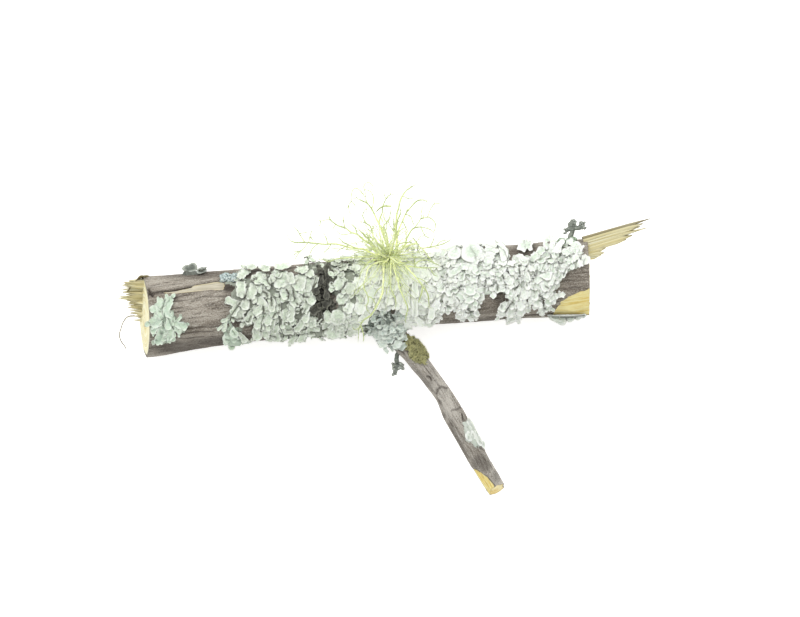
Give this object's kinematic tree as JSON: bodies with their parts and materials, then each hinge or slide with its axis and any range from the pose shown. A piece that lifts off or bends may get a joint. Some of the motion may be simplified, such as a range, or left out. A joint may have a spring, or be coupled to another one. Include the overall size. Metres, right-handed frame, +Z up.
{
  "type": "lichen-covered twig",
  "caption": "Fallen length of twig with a broken side branch, covered by leafy shield lichens, with a tuft of beard lichen, moss and small crusts.",
  "frame": {"origin": "on the surface that the twig lies on, under the middle of its length and width", "axes": "+X along the twig from its sawn end to its torn end, +Y across it towards the beard lichen, +Z up from the surface"},
  "size_m": [0.186, 0.1093, 0.0468],
  "materials": {
    "bark": "matte",
    "side_bark": "matte",
    "grey_green_lichen": "matte",
    "pale_green_lichen": "matte",
    "white_green_lichen": "matte",
    "mint_lichen": "matte",
    "blue_grey_lichen": "matte",
    "green_grey_crust": "matte",
    "black_lichen": "matte",
    "moss": "matte",
    "dark_lichen": "matte",
    "beard_lichen": "matte"
  },
  "bodies": {
    "root": {"main_branch": "bark", "side_branch": "side_bark", "shield_lichen_left": "grey_green_lichen", "shield_lichen_middle": "pale_green_lichen", "shield_lichen_right": "white_green_lichen", "cut_end_rosette": "mint_lichen", "lower_edge_rosette": "mint_lichen", "torn_end_fringe": "mint_lichen", "fork_lichen": "blue_grey_lichen", "side_branch_lichen": "blue_grey_lichen", "warty_crust_left": "blue_grey_lichen", "warty_crust_right": "green_grey_crust", "black_lichen": "black_lichen", "moss_cushion": "moss", "dangling_lobes": "dark_lichen", "upper_edge_flake": "dark_lichen", "stalked_lobes": "dark_lichen", "beard_holdfast": "beard_lichen", "beard_stem_01": "beard_lichen", "beard_stem_02": "beard_lichen", "beard_stem_03": "beard_lichen", "beard_stem_04": "beard_lichen", "beard_stem_05": "beard_lichen", "beard_stem_06": "beard_lichen", "beard_stem_07": "beard_lichen", "beard_stem_08": "beard_lichen", "beard_stem_09": "beard_lichen", "beard_stem_10": "beard_lichen", "beard_stem_11": "beard_lichen", "beard_stem_12": "beard_lichen", "beard_stem_13": "beard_lichen", "beard_stem_14": "beard_lichen", "beard_stem_15": "beard_lichen", "beard_stem_16": "beard_lichen"}
  },
  "joints": []
}
